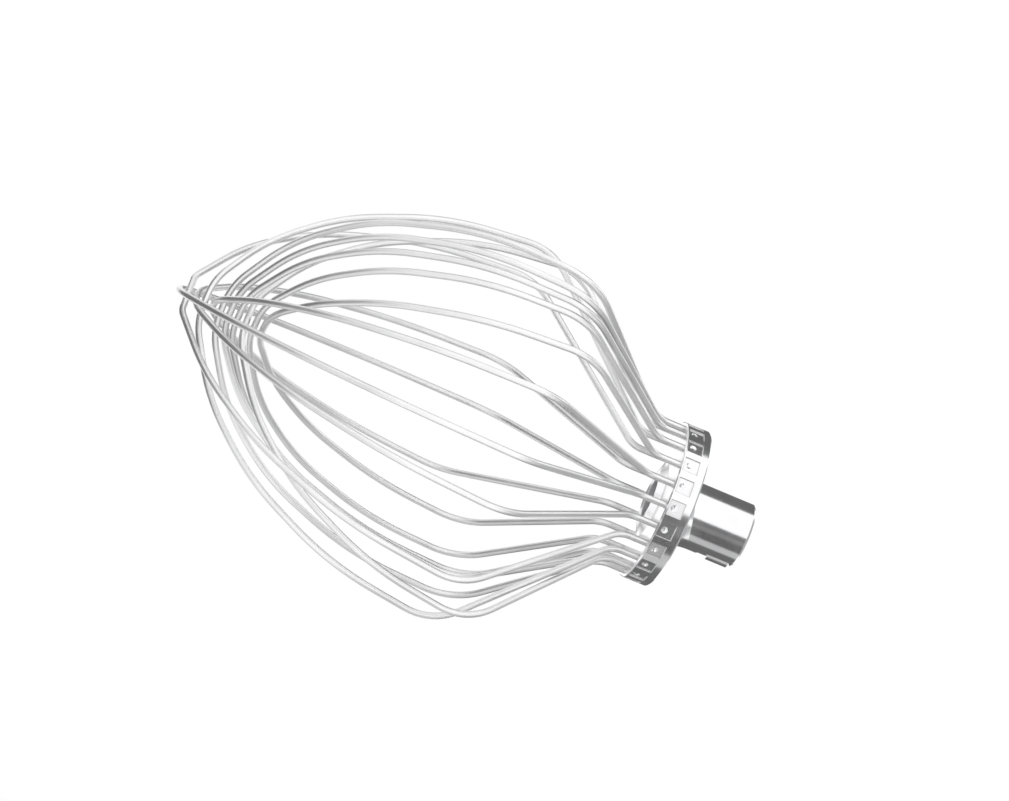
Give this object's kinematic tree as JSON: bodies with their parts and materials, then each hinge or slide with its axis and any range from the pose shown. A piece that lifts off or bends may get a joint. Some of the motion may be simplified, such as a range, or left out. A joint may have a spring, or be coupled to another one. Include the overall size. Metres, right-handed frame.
{
  "type": "stand mixer wire whisk",
  "caption": "Balloon wire whisk for a bowl-lift stand mixer: nested steel wire loops staked into a flanged hub with a bayonet drive socket.",
  "frame": {"origin": "centre of the drive socket's mouth, on the bore axis", "axes": "+Z along the bore axis and out of the socket's mouth, towards the mixer; the wire cage hangs towards -Z; +X towards the bayonet slot"},
  "size_m": [0.1158, 0.1154, 0.1843],
  "materials": {
    "hub_steel": "polished",
    "wire_steel": "polished"
  },
  "bodies": {
    "root": {"hub": "hub_steel", "wire_01": "wire_steel", "wire_02": "wire_steel", "wire_03": "wire_steel", "wire_04": "wire_steel", "wire_05": "wire_steel", "wire_06": "wire_steel", "wire_07": "wire_steel", "wire_08": "wire_steel", "wire_09": "wire_steel", "wire_10": "wire_steel", "wire_11": "wire_steel"}
  },
  "joints": []
}
